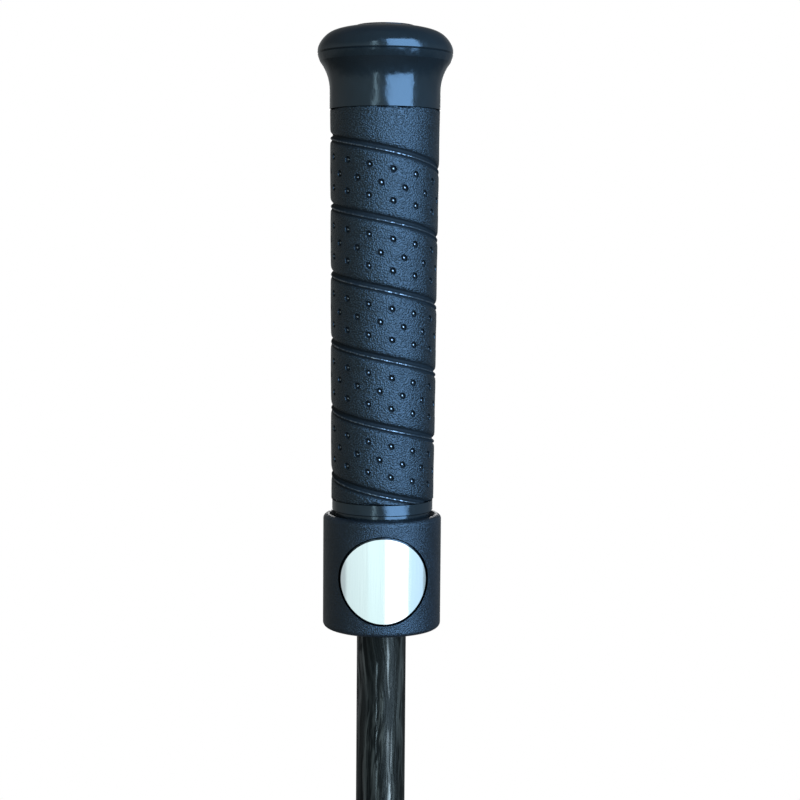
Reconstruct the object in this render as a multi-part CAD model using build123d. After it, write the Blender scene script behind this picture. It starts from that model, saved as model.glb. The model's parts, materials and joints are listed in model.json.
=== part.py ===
"""Curling broom with a telescoping wrapped handle, a push-button length lock and a two-axis swivel head.

Units are millimetres. +Z is up the shaft, +X runs along the head, and the lock button faces -Y.
The origin is on the ice, under the middle of the head, with the handle at its shortest setting.
Each function makes one sub-part in place, and each is written to parts/NODE.step.
"""

from build123d import *
import math
import os

# ---------------------------------------------------------------- driving dimensions
SHAFT_R = 8.0
SHAFT_WALL = 2.0
SHAFT_BORE_R = SHAFT_R - SHAFT_WALL
TOTAL_HEIGHT = 1118.2
HANDLE_LENGTH = 192.7
HANDLE_Z = TOTAL_HEIGHT - HANDLE_LENGTH  # underside of the lock collar
RUN_GAP = 0.10  # radial clearance of a sliding or turning fit
FREE_GAP = 0.30  # clearance of moving parts that only pass each other
GLUE_GAP = 0.05  # radial gap filled with glue between parts that are bonded

# Handle, measured up from the underside of the collar
COLLAR_R = 19.1
COLLAR_HEIGHT = 37.0
COLLAR_EDGE_R = 1.6
COLLAR_CAVITY_R = 15.8
CAVITY_TOP = 27.0
SLEEVE_R = 16.25  # glossy band between the collar and the wrap
GROOVE_R = 15.4  # shadow groove between the collar's mouth and that band
GROOVE_BOTTOM = 35.6
GROOVE_TOP = 38.2
WRAP_BOTTOM = 41.8
WRAP_TOP = 166.2
WRAP_R_BOTTOM = 16.6
WRAP_R_TOP = 17.5
WRAP_THICKNESS = 1.6
NECK_R = 17.6
FLARE_START = 172.2
FLARE_R = 20.7
FLARE_TOP = 181.2
LIP_R = 21.45
LIP_BULGE = 0.05
CAP_PARTING = 183.65
CAP_R = 21.5
CAP_LEDGE = 0.7
CAP_HOLLOW_R = 9.0
CAP_HOLLOW_TOP = 186.5
CAP_SPIGOT_BOTTOM = 175.5
TUBE_BORE_R = 13.0
TUBE_BORE_BOTTOM = 33.6
TUBE_BORE_TOP = 178.0
BUSH_SEAT_R = 11.4
KEY_WIDTH = 3.0
KEYWAY_R = 14.2

# Length lock, measured from the same place
LOCK_Z = 18.0
BUTTON_BORE_R = 14.3
BUTTON_R = 13.8
PLATE_R = 13.5
PLATE_THICKNESS = 1.0
CARRIER_THICKNESS = 2.5
FLANGE_R = 14.95
FLANGE_THICKNESS = 1.3
FLANGE_HALF_HEIGHT = 8.5
BUTTON_TRAVEL = 2.6
YOKE_IN = 8.5
YOKE_OUT = 12.0
YOKE_BAR = 2.4
YOKE_HEIGHT = 12.0
YOKE_SWING_R = 15.4
PIN_R = 2.3
PIN_DEPTH = 2.2
HOLE_R = PIN_R + FREE_GAP
INDEX_PITCH = 15.0
INDEX_HOLES = 7
SPRING_POCKET_Y = 17.0
SPRING_WIRE_R = 0.35
SPRING_R = 3.3
SPRING_TURNS = 3

# Upper end of the shaft, measured from the same place
SHAFT_TOP = 170.0
GLIDE_BOTTOM = 152.0
GLIDE_TOP = 172.0
LINER_BOTTOM = 8.0
LINER_TOP = 120.0
LINER_R_IN = 5.0
UPPER_BUSH_TOP = 61.5

# Head, measured up from the ice
PAD_LENGTH = 200.0
PAD_WIDTH = 70.0
PAD_CORNER_R = 30.0
CLOTH = 0.8
FOAM_HEIGHT = 12.0
BOARD_HEIGHT = 3.0
TAPE_HEIGHT = 0.9
HEM_WIDTH = 8.0
BOARD_Z = CLOTH + FOAM_HEIGHT
TAPE_Z = BOARD_Z + BOARD_HEIGHT
SHELL_Z = TAPE_Z + CLOTH + 0.2
FLOOR_Z = TAPE_Z + 2 * TAPE_HEIGHT
FLOOR_HEIGHT = 1.6
SHELL_LENGTH = PAD_LENGTH - 2.0
SHELL_WIDTH = PAD_WIDTH - 1.0
SHELL_WALL_HEIGHT = 4.0
SHELL_CROWN = 8.0
SHELL_TAPER = 50.0
SHELL_SKIN = 3.0
SHELL_HOLLOW_TAPER = 40.0
RIB_THICKNESS = 1.8
RIB_PITCH = 26.0
SHELL_TOP = SHELL_Z + SHELL_WALL_HEIGHT + SHELL_CROWN
SADDLE_PLATE = 2.6
SADDLE_LENGTH = 52.0
SADDLE_WIDTH = 42.0
SADDLE_TOP = SHELL_TOP + SADDLE_PLATE
SCREW_X, SCREW_Y = 20.5, 15.5
SADDLE_SCREW_R = 1.8
SADDLE_SCREW_LENGTH = 9.0

# Swivel, measured from the pivot where its two axes cross
PIVOT_Z = SADDLE_TOP + 12.1
BARREL_R = 9.5
BARREL_HALF = 14.5
EAR_IN = BARREL_HALF + FREE_GAP
EAR_THICKNESS = 5.0
EAR_R = 7.0
EAR_FOOT = 11.0
AXLE_R = 3.0
BUSH_R = 4.2
TONGUE_HALF = 3.5
TONGUE_R = 6.0
NECK_HALF = 4.5
ROLL_LIMIT = 40.0
SOCKET_BOTTOM = 32.0
SOCKET_TOP = 74.0
FERRULE_R = 10.6
FERRULE_TOP_R = 9.3

HANDLE = Pos(0, 0, HANDLE_Z)
PIVOT = Pos(0, 0, PIVOT_Z)


# ---------------------------------------------------------------- small helpers
def rod(radius, start, end, axis="Z", at=(0, 0, 0)):
    """A cylinder from start to end along an axis through the point at."""
    body = Pos(0, 0, (start + end) / 2) * Cylinder(radius, end - start)
    turn = {"Z": Rot(0, 0, 0), "X": Rot(0, 90, 0), "Y": Rot(-90, 0, 0)}[axis]
    return Pos(*at) * turn * body


def tube(outer, inner, start, end):
    """A straight tube about the Z axis."""
    return rod(outer, start, end) - rod(inner, start - 1, end + 1)


def block(x0, x1, y0, y1, z0, z1):
    """A box between two corners."""
    centre = Pos((x0 + x1) / 2, (y0 + y1) / 2, (z0 + z1) / 2)
    return centre * Box(x1 - x0, y1 - y0, z1 - z0)


def turned(*edges):
    """The solid of revolution about Z of an outline drawn as (radius, height) edges."""
    return revolve(Rot(90, 0, 0) * make_face(Curve() + list(edges)), Axis.Z)


def polygon_turned(points):
    """The solid of revolution about Z of a straight-sided outline of (radius, height) points."""
    return turned(Polyline(*points, close=True))


def pan_screw(shank_r, length, head_r, head_height):
    """A pan-head screw pointing down -Z with its seat at the origin, with a hexagon socket."""
    head = Pos(0, 0, head_height / 2) * Cylinder(head_r, head_height)
    head = fillet(head.edges().group_by(Axis.Z)[-1], head_height * 0.4)
    socket = extrude(Pos(0, 0, head_height * 0.4) * RegularPolygon(head_r * 0.45, 6), head_height)
    return head + rod(shank_r, -length, 0) - socket


def countersunk_hole(shank_r, length, head_r, over):
    """The room for a countersunk screw pointing down -Z, open for a distance over its head."""
    cone = head_r - shank_r
    return polygon_turned(
        [(0, over), (head_r, over), (head_r, 0), (shank_r, -cone), (shank_r, -length), (0, -length)]
    )


def countersunk_screw(shank_r, length, head_r):
    """A countersunk screw pointing down -Z with its head's flat face at the origin."""
    cone = head_r - shank_r
    outline = [(0, 0), (head_r, 0), (shank_r, -cone), (shank_r, -length), (0, -length)]
    socket = Pos(0, 0, -cone * 0.8) * extrude(RegularPolygon(head_r * 0.45, 6), cone)
    return polygon_turned(outline) - socket


def pad_outline(margin=0.0, length=PAD_LENGTH, width=PAD_WIDTH):
    """The head's plan outline, drawn in by a margin."""
    corner = PAD_CORNER_R - margin
    return RectangleRounded(length - 2 * margin, width - 2 * margin, corner)


def shell_outline(margin=0.0):
    """The plan outline of the head's shell, which sits just inside the pad's."""
    return pad_outline(margin, SHELL_LENGTH, SHELL_WIDTH)


# ---------------------------------------------------------------- shaft
def index_holes():
    """The row of blind-side holes that the lock pin drops into, one for each length setting."""
    holes = [
        rod(HOLE_R, LINER_R_IN - 1, SHAFT_R + 1, "Y", (0, 0, LOCK_Z + k * INDEX_PITCH))
        for k in range(INDEX_HOLES)
    ]
    return HANDLE * (holes[0] + holes[1:])


def glide_pin_body():
    return HANDLE * rod(1.5, -11.5, 11.5, "X", (0, 0, (GLIDE_BOTTOM + GLIDE_TOP) / 2))


def ferrule_pin_body():
    return PIVOT * rod(1.6, -FERRULE_TOP_R, FERRULE_TOP_R, "Y", (0, 0, SOCKET_TOP - 14))


def shaft_tube():
    body = tube(SHAFT_R, SHAFT_BORE_R, PIVOT_Z + SOCKET_BOTTOM, HANDLE_Z + SHAFT_TOP)
    return body - index_holes() - glide_pin_body() - ferrule_pin_body()


def index_liner():
    return HANDLE * tube(SHAFT_BORE_R, LINER_R_IN, LINER_BOTTOM, LINER_TOP) - index_holes()


def glide_bush():
    body = rod(TUBE_BORE_R - FREE_GAP, GLIDE_BOTTOM, GLIDE_TOP)
    body = chamfer(body.edges().filter_by(GeomType.CIRCLE), 0.8)
    half = KEY_WIDTH / 2
    key = block(-half, half, TUBE_BORE_R - 1.5, KEYWAY_R - 0.4, GLIDE_BOTTOM + 1, GLIDE_TOP - 1)
    body = body + key - rod(SHAFT_R + GLUE_GAP, GLIDE_BOTTOM - 1, SHAFT_TOP)
    return HANDLE * body - glide_pin_body()


def shaft_ferrule():
    """Moulded socket for the shaft, ending in the tongue that the swivel pin goes through."""
    outline = [
        (0, 17),
        (5.5, 17),
        (FERRULE_R, SOCKET_BOTTOM - 2),
        (FERRULE_R, SOCKET_BOTTOM + 12),
        (FERRULE_TOP_R, SOCKET_TOP - 1.2),
        (FERRULE_TOP_R - 0.8, SOCKET_TOP),
        (0, SOCKET_TOP),
    ]
    body = polygon_turned(outline)
    for k in range(3):
        groove_z = SOCKET_BOTTOM + 1 + 4 * k
        body -= tube(FERRULE_R + 1, FERRULE_R - 0.6, groove_z, groove_z + 1.4)
    tongue = rod(TONGUE_R, -TONGUE_HALF, TONGUE_HALF, "Y")
    neck = block(-NECK_HALF, NECK_HALF, -TONGUE_HALF, TONGUE_HALF, 0, 24)
    body = body + tongue + neck
    body -= rod(SHAFT_R + GLUE_GAP, SOCKET_BOTTOM, SOCKET_TOP + 1)
    body -= rod(BUSH_R, -TONGUE_HALF - 1, TONGUE_HALF + 1, "Y")
    return PIVOT * body - ferrule_pin_body()


def tongue_bush():
    sleeve = rod(BUSH_R, -TONGUE_HALF, TONGUE_HALF, "Y")
    return PIVOT * (sleeve - rod(AXLE_R + RUN_GAP / 2, -TONGUE_HALF - 1, TONGUE_HALF + 1, "Y"))


# ---------------------------------------------------------------- handle
def button_sweep():
    """The space that the button's rim passes through in the handle tube when it is pressed."""
    bore = rod(BUTTON_BORE_R, -COLLAR_R - 1, 0, "Y", (0, 0, LOCK_Z))
    back_r = COLLAR_R - PLATE_THICKNESS - CARRIER_THICKNESS - FREE_GAP
    return bore - rod(back_r, 0, 60, at=(0, BUTTON_TRAVEL, 0))


def collar_screw_seats():
    """Where the two screws go through the back of the collar into the handle tube."""
    radial = Pos(0, COLLAR_R - 0.5, 31) * Rot(-90, 0, 0)
    return [Rot(0, 0, side * 40) * radial for side in (-1, 1)]


def collar_screw_holes():
    return [seat * countersunk_hole(1.5, 5.0, 2.6, 2.0) for seat in collar_screw_seats()]


def handle_tube():
    """Glossy core of the handle, with its flared top, the seat for the wrap and the collar's spigot."""
    seat_bottom_r = WRAP_R_BOTTOM - WRAP_THICKNESS
    seat_top_r = WRAP_R_TOP - WRAP_THICKNESS
    outline = [
        (BUSH_SEAT_R, CAVITY_TOP),
        (SLEEVE_R, CAVITY_TOP),
        (SLEEVE_R, GROOVE_BOTTOM),
        (GROOVE_R, GROOVE_BOTTOM + 0.4),
        (GROOVE_R, GROOVE_TOP),
        (SLEEVE_R - 0.3, GROOVE_TOP),
        (SLEEVE_R, GROOVE_TOP + 0.3),
        (SLEEVE_R, WRAP_BOTTOM - 0.1),
        (seat_bottom_r, WRAP_BOTTOM - 0.1),
        (seat_top_r, WRAP_TOP + 0.1),
        (NECK_R, WRAP_TOP + 0.1),
        (NECK_R, FLARE_START),
    ]
    flare = TangentArc((NECK_R, FLARE_START), (FLARE_R, FLARE_TOP), tangent=(0, 1))
    lip_top = CAP_PARTING - 0.2
    lip_middle = ((FLARE_R + LIP_R) / 2 + LIP_BULGE, (FLARE_TOP + lip_top) / 2)
    lip = ThreePointArc((FLARE_R, FLARE_TOP), lip_middle, (LIP_R, lip_top))
    top = [
        (LIP_R, lip_top),
        (LIP_R - 0.2, CAP_PARTING),
        (TUBE_BORE_R, CAP_PARTING),
        (TUBE_BORE_R, TUBE_BORE_BOTTOM),
        (BUSH_SEAT_R, TUBE_BORE_BOTTOM),
        (BUSH_SEAT_R, CAVITY_TOP),
    ]
    body = turned(Polyline(*outline), flare, lip, Polyline(*top))
    half = KEY_WIDTH / 2 + 0.4
    keyway = block(-half, half, 0, KEYWAY_R, TUBE_BORE_BOTTOM, TUBE_BORE_TOP)
    body = body - (keyway - rod(TUBE_BORE_R - 1, TUBE_BORE_BOTTOM, TUBE_BORE_TOP))
    body = body - button_sweep()
    return HANDLE * (body - collar_screw_holes())


def end_cap():
    """Domed plug pressed into the flared top of the handle."""
    crown = [(20.9, 186.7), (19.4, 188.8), (16.6, 190.7), (9.5, 192.3)]
    points = [(CAP_R, CAP_PARTING + CAP_LEDGE), *crown, (0, HANDLE_LENGTH)]
    dome = Spline(*points, tangents=[(0, 1), (-1, 0)])
    spigot_r = TUBE_BORE_R - 0.02
    under = [
        (0, HANDLE_LENGTH),
        (0, CAP_HOLLOW_TOP),
        (CAP_HOLLOW_R, CAP_HOLLOW_TOP),
        (CAP_HOLLOW_R, CAP_SPIGOT_BOTTOM),
        (spigot_r, CAP_SPIGOT_BOTTOM),
        (spigot_r, CAP_PARTING + 0.02),
        (CAP_R - 0.3, CAP_PARTING + 0.02),
        (CAP_R, CAP_PARTING + 0.4),
        (CAP_R, CAP_PARTING + CAP_LEDGE),
    ]
    return HANDLE * turned(dome, Polyline(*under))


def bumper():
    """Rubber ring under the cap that the shaft's top bush comes up against."""
    ring = tube(TUBE_BORE_R - 0.3, 4.0, GLIDE_TOP + 0.4, CAP_SPIGOT_BOTTOM - 0.1)
    return HANDLE * fillet(ring.edges().filter_by(GeomType.CIRCLE), 0.5)


def grip_wrap():
    """Closed sleeve of the wound grip tape, as thick as the tape lies."""
    outline = [
        (WRAP_R_BOTTOM - WRAP_THICKNESS + GLUE_GAP, WRAP_BOTTOM),
        (WRAP_R_BOTTOM - 0.3, WRAP_BOTTOM),
        (WRAP_R_BOTTOM, WRAP_BOTTOM + 0.6),
        (WRAP_R_TOP, WRAP_TOP - 0.5),
        (WRAP_R_TOP - 0.15, WRAP_TOP),
        (WRAP_R_TOP - WRAP_THICKNESS + GLUE_GAP, WRAP_TOP),
    ]
    return HANDLE * polygon_turned(outline)


def collar():
    """Lock housing: an open drum with the button's bore through its front wall."""
    body = rod(COLLAR_R, 0, COLLAR_HEIGHT)
    body = fillet(body.edges().filter_by(GeomType.CIRCLE), COLLAR_EDGE_R)
    body -= rod(COLLAR_CAVITY_R, -1, CAVITY_TOP)
    body -= rod(SLEEVE_R + 0.05, CAVITY_TOP, COLLAR_HEIGHT + 1)
    mouth_top = COLLAR_HEIGHT + 0.1
    mouth = [(0, GROOVE_BOTTOM), (SLEEVE_R, GROOVE_BOTTOM), (SLEEVE_R + 0.9, mouth_top), (0, mouth_top)]
    body -= polygon_turned(mouth)
    body -= rod(BUTTON_BORE_R, -COLLAR_R - 1, 0, "Y", (0, 0, LOCK_Z))
    rim = rod(BUTTON_BORE_R + 0.45, -COLLAR_R - 1, -COLLAR_R + 0.35, "Y", (0, 0, LOCK_Z))
    body -= rim
    body -= rod(4.2, 0, SPRING_POCKET_Y, "Y", (0, 0, LOCK_Z))
    return HANDLE * (body - collar_screw_holes())


def collar_screws():
    return Compound(children=[HANDLE * seat * countersunk_screw(1.5, 5.0, 2.6) for seat in collar_screw_seats()])


def collar_cap():
    """Threaded ring that closes the collar from below and steadies the shaft."""
    body = tube(COLLAR_CAVITY_R - 0.05, SHAFT_R + RUN_GAP, 0.3, 3.1)
    for side in (-1, 1):
        body -= rod(1.3, 0, 1.8, at=(0, side * 12.2, 0))
    return HANDLE * (body - rod(SHAFT_R + 1.5, 0.8, 2.6))


def wiper_ring():
    return HANDLE * tube(SHAFT_R + 1.45, SHAFT_R + FREE_GAP, 0.85, 2.55)


def upper_bush():
    """Long guide bush in the lower end of the handle tube, which also stops the shaft pulling out."""
    body = rod(TUBE_BORE_R - 0.05, TUBE_BORE_BOTTOM, UPPER_BUSH_TOP)
    body += rod(BUSH_SEAT_R - 0.05, CAVITY_TOP, TUBE_BORE_BOTTOM)
    return HANDLE * (body - rod(SHAFT_R + RUN_GAP, CAVITY_TOP - 1, UPPER_BUSH_TOP + 1))


def spring_seat_y():
    """Where the spring's moving end bears on the lock pin's head."""
    return YOKE_IN + YOKE_BAR + 0.6


def yoke_spring():
    """Compression spring behind the lock pin, drawn along Y."""
    height = SPRING_POCKET_Y - spring_seat_y() - 2 * SPRING_WIRE_R - 0.1
    path = Helix(pitch=height / SPRING_TURNS, height=height, radius=SPRING_R)
    start = Plane(origin=path @ 0, z_dir=path % 0)
    coil = sweep(start * Circle(SPRING_WIRE_R), path=path)
    start_y = spring_seat_y() + SPRING_WIRE_R + 0.05
    return HANDLE * Pos(0, start_y, LOCK_Z) * Rot(-90, 0, 0) * coil


# ---------------------------------------------------------------- button and lock
def shell_between(outer, inner):
    """A tall round wall between two radii, to give the button's parts the collar's curve."""
    return tube(outer, inner, -5, 60)


def yoke_screw_seats():
    """Where the two small screws go through the button into the ends of the yoke's arms."""
    x = (YOKE_IN + YOKE_OUT) / 2
    return [Pos(side * x, -13.0, LOCK_Z) * Rot(90, 0, 0) for side in (-1, 1)]


def yoke_screw_holes():
    return [seat * countersunk_hole(0.8, 6.0, 1.5, 6.0) for seat in yoke_screw_seats()]


def push_button():
    """Moulded carrier that follows the collar's curve, with a flange that keeps it in its bore."""
    front_r = COLLAR_R - PLATE_THICKNESS
    back_r = front_r - CARRIER_THICKNESS
    disc = rod(BUTTON_R, -COLLAR_R - 1, 0, "Y", (0, 0, LOCK_Z)) & shell_between(front_r, back_r)
    flange = rod(FLANGE_R, -COLLAR_R - 1, 0, "Y", (0, 0, LOCK_Z))
    flange &= shell_between(back_r, back_r - FLANGE_THICKNESS)
    low, high = LOCK_Z - FLANGE_HALF_HEIGHT, LOCK_Z + FLANGE_HALF_HEIGHT
    flange &= block(-20, 20, -20, 0, low, high)
    return HANDLE * (disc + flange - yoke_screw_holes())


def button_plate():
    """Thin metal disc bonded to the button, rolled to the collar's curve."""
    disc = rod(PLATE_R, -COLLAR_R - 1, 0, "Y", (0, 0, LOCK_Z))
    plate = disc & shell_between(COLLAR_R, COLLAR_R - PLATE_THICKNESS + 0.02)
    return HANDLE * plate


def lock_yoke():
    """Fork round the shaft that carries the button's push to the pin at the back."""
    low, high = LOCK_Z - YOKE_HEIGHT / 2, LOCK_Z + YOKE_HEIGHT / 2
    back = YOKE_IN + YOKE_BAR
    body = block(-YOKE_OUT, YOKE_OUT, -14, back, low, high)
    body -= block(-YOKE_IN, YOKE_IN, -15, YOKE_IN, low - 1, high + 1)
    front_r = COLLAR_R - PLATE_THICKNESS - CARRIER_THICKNESS - FLANGE_THICKNESS - 0.05
    keep = rod(front_r, -5, 60) + block(-20, 20, 0, 20, -5, 60)
    body &= keep
    body &= rod(YOKE_SWING_R, -5, 60, at=(0, -BUTTON_TRAVEL, 0))
    body -= rod(PIN_R, 0, 20, "Y", (0, 0, LOCK_Z))
    return HANDLE * (body - yoke_screw_holes())


def yoke_screws():
    return Compound(children=[HANDLE * seat * countersunk_screw(0.8, 6.0, 1.5) for seat in yoke_screw_seats()])


def lock_pin():
    """Hardened pin with a head that seats the spring. Its tip sits in one of the shaft's holes."""
    tip = SHAFT_R - PIN_DEPTH
    seat = YOKE_IN + YOKE_BAR
    body = rod(PIN_R, tip, seat, "Y", (0, 0, LOCK_Z))
    body = chamfer(body.edges().group_by(Axis.Y)[0], 0.4)
    body += rod(SPRING_R + 0.3, seat, spring_seat_y(), "Y", (0, 0, LOCK_Z))
    body += rod(2.0, seat, spring_seat_y() + 0.8, "Y", (0, 0, LOCK_Z))
    return HANDLE * body


# ---------------------------------------------------------------- swivel
def pivot_barrel():
    """Cross block of the swivel: it turns about X in the saddle and carries the tongue's pin along Y."""
    body = rod(BARREL_R, -BARREL_HALF, BARREL_HALF, "X")
    body = chamfer(body.edges().filter_by(GeomType.CIRCLE), 0.8)
    lean = math.radians(ROLL_LIMIT + 1)
    half, reach = NECK_HALF + FREE_GAP, 30.0
    foot = (half * math.cos(lean), -half * math.sin(lean))
    tip = (foot[0] + reach * math.sin(lean), foot[1] + reach * math.cos(lean))
    wedge = [foot, tip, (-tip[0], tip[1]), (-foot[0], foot[1])]
    slot_half = TONGUE_HALF + FREE_GAP
    face = make_face(Polyline(*[(x, -slot_half, z) for x, z in wedge], close=True))
    slot = extrude(face, amount=2 * slot_half, dir=(0, 1, 0))
    slot += rod(TONGUE_R + 0.4, -slot_half, slot_half, "Y")
    body = body - slot
    body -= rod(AXLE_R, -BARREL_R - 1, BARREL_R + 1, "Y")
    for pin in trunnion_bodies():
        body -= pin
    return PIVOT * body


def swivel_pin():
    pin = rod(AXLE_R, -BARREL_R + 0.7, BARREL_R - 0.7, "Y")
    return PIVOT * chamfer(pin.edges().filter_by(GeomType.CIRCLE), 0.4)


def trunnion_bodies():
    """The two stub axles, pressed into the barrel's ends through the saddle's ears."""
    inner, outer = 10.3, EAR_IN + EAR_THICKNESS - 0.2
    return [rod(AXLE_R, inner, outer, "X"), rod(AXLE_R, -outer, -inner, "X")]


def trunnion_pins():
    return Compound(children=[PIVOT * pin for pin in trunnion_bodies()])


def ear_spans():
    """Where the two ears start and end along X."""
    outer = EAR_IN + EAR_THICKNESS
    return [(EAR_IN, outer), (-outer, -EAR_IN)]


def pivot_saddle():
    """Base plate with two ears that hold the barrel's stub axles."""
    plate_z = (SHELL_TOP + SADDLE_TOP) / 2
    outline = RectangleRounded(SADDLE_LENGTH, SADDLE_WIDTH, 8)
    plate = Pos(0, 0, plate_z) * extrude(outline, SADDLE_PLATE / 2, both=True)
    plate = fillet(plate.edges().group_by(Axis.Z)[-1], 0.8)
    drop = SADDLE_TOP - PIVOT_Z - 0.5
    for start, end in ear_spans():
        boss = rod(EAR_R, start, end, "X")
        leg = [(-EAR_FOOT, drop), (EAR_FOOT, drop), (EAR_R, 0), (-EAR_R, 0)]
        face = make_face(Polyline(*[(start, y, z) for y, z in leg], close=True))
        plate += PIVOT * (boss + extrude(face, amount=end - start, dir=(1, 0, 0)))
        plate -= PIVOT * rod(BUSH_R, start - 1, end + 1, "X")
    for x, y in screw_places():
        plate -= rod(SADDLE_SCREW_R, SHELL_TOP - 1, SADDLE_TOP + 1, at=(x, y, 0))
    return plate


def ear_bushes():
    bore = AXLE_R + RUN_GAP / 2
    sleeves = [rod(BUSH_R, a, b, "X") - rod(bore, a - 1, b + 1, "X") for a, b in ear_spans()]
    return Compound(children=[PIVOT * s for s in sleeves])


def ear_caps():
    """Snap-in discs that cover the outer ends of the stub axles."""
    outer = EAR_IN + EAR_THICKNESS
    caps = []
    for side in (-1, 1):
        disc = rod(EAR_R - 1.6, 0, 1.1)
        disc = fillet(disc.edges().group_by(Axis.Z)[-1], 0.6)
        caps.append(PIVOT * Pos(side * outer, 0, 0) * Rot(0, side * 90, 0) * disc)
    return Compound(children=caps)


def screw_places():
    return [(x, y) for x in (-SCREW_X, SCREW_X) for y in (-SCREW_Y, SCREW_Y)]


def saddle_screws():
    screw = pan_screw(SADDLE_SCREW_R, SADDLE_SCREW_LENGTH, 3.3, 2.2)
    screws = [Pos(x, y, SADDLE_TOP) * screw for x, y in screw_places()]
    return Compound(children=screws)


# ---------------------------------------------------------------- head
def head_shell():
    """Ribbed cover of the head, with a bevelled top and a flat seat for the saddle."""
    wall = extrude(shell_outline(), SHELL_WALL_HEIGHT)
    body = wall + Pos(0, 0, SHELL_WALL_HEIGHT) * extrude(shell_outline(), SHELL_CROWN, taper=SHELL_TAPER)
    body = Pos(0, 0, SHELL_Z) * body
    body = fillet(body.edges().group_by(Axis.Z)[-1], 3.0)
    hollow_height = SHELL_TOP - SHELL_SKIN - FLOOR_Z
    body -= Pos(0, 0, FLOOR_Z) * extrude(shell_outline(SHELL_SKIN), hollow_height, taper=SHELL_HOLLOW_TAPER)
    body -= Pos(0, 0, SHELL_Z) * extrude(shell_outline(SHELL_SKIN), FLOOR_Z + FLOOR_HEIGHT - SHELL_Z)
    body += shell_ribs()
    for x, y in screw_places():
        body -= rod(SADDLE_SCREW_R, SADDLE_TOP - SADDLE_SCREW_LENGTH, SHELL_TOP + 1, at=(x, y, 0))
    return body


def shell_ribs():
    """One long rib, seven cross ribs and four screw bosses, cut to the inside of the shell."""
    bottom, top = FLOOR_Z + FLOOR_HEIGHT, SHELL_TOP - 1
    half = RIB_THICKNESS / 2
    ribs = block(-SHELL_LENGTH / 2, SHELL_LENGTH / 2, -half, half, bottom, top)
    for k in range(-3, 4):
        ribs += block(k * RIB_PITCH - half, k * RIB_PITCH + half, -SHELL_WIDTH / 2, SHELL_WIDTH / 2, bottom, top)
    for x, y in screw_places():
        ribs += rod(4.2, bottom, top, at=(x, y, 0))
    low = Pos(0, 0, bottom) * extrude(shell_outline(SHELL_SKIN + 1), 3.0, taper=SHELL_HOLLOW_TAPER)
    high = Pos(0, 0, bottom + 2) * extrude(shell_outline(SHELL_SKIN + 4), top - bottom - 2, taper=30)
    return ribs & (low + high)


def shell_floor():
    """Plate bonded under the shell's ribs, which carries the hook tape."""
    plate = extrude(shell_outline(SHELL_SKIN + 0.1), FLOOR_HEIGHT)
    return Pos(0, 0, FLOOR_Z) * plate


def hook_tape():
    return Pos(0, 0, TAPE_Z + TAPE_HEIGHT) * extrude(pad_outline(HEM_WIDTH + 1.5), TAPE_HEIGHT)


def loop_tape():
    return Pos(0, 0, TAPE_Z) * extrude(pad_outline(HEM_WIDTH + 1.5), TAPE_HEIGHT)


def pad_board():
    return Pos(0, 0, BOARD_Z) * extrude(pad_outline(CLOTH + 0.05), BOARD_HEIGHT)


def foam_pad():
    body = Pos(0, 0, CLOTH) * extrude(pad_outline(CLOTH + 0.05), FOAM_HEIGHT)
    return fillet(body.edges().group_by(Axis.Z)[0], 3.2)


def pad_cover():
    """Cloth sleeve of the pad: flat below, up the sides and folded over the board's edge."""
    height = TAPE_Z + CLOTH
    outer = extrude(pad_outline(), height)
    outer = fillet(outer.edges().group_by(Axis.Z)[0], 4.0)
    outer = fillet(outer.edges().group_by(Axis.Z)[-1], 0.6)
    inner = Pos(0, 0, CLOTH) * extrude(pad_outline(CLOTH), FOAM_HEIGHT + BOARD_HEIGHT)
    inner = fillet(inner.edges().group_by(Axis.Z)[0], 3.2)
    mouth = Pos(0, 0, CLOTH + 5) * extrude(pad_outline(HEM_WIDTH), height)
    return outer - inner - mouth


NODES = [
    shaft_tube,
    index_liner,
    glide_bush,
    shaft_ferrule,
    tongue_bush,
    handle_tube,
    end_cap,
    bumper,
    grip_wrap,
    collar,
    collar_screws,
    collar_cap,
    wiper_ring,
    upper_bush,
    yoke_spring,
    push_button,
    button_plate,
    lock_yoke,
    yoke_screws,
    lock_pin,
    pivot_barrel,
    swivel_pin,
    trunnion_pins,
    pivot_saddle,
    ear_bushes,
    ear_caps,
    saddle_screws,
    head_shell,
    shell_floor,
    hook_tape,
    loop_tape,
    pad_board,
    foam_pad,
    pad_cover,
]

os.makedirs("parts", exist_ok=True)
for make in NODES:
    export_step(make(), f"parts/{make.__name__}.step")
export_step(glide_pin_body(), "parts/glide_pin.step")
export_step(ferrule_pin_body(), "parts/ferrule_pin.step")
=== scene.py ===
"""Looks of the curling broom: wound grip, glossy end, lock collar, carbon shaft and fabric pad."""

import json
import math

import bpy
import numpy as np
from mathutils import Matrix, Vector
from mathutils import noise as simplex
from mathutils.bvhtree import BVHTree

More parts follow.
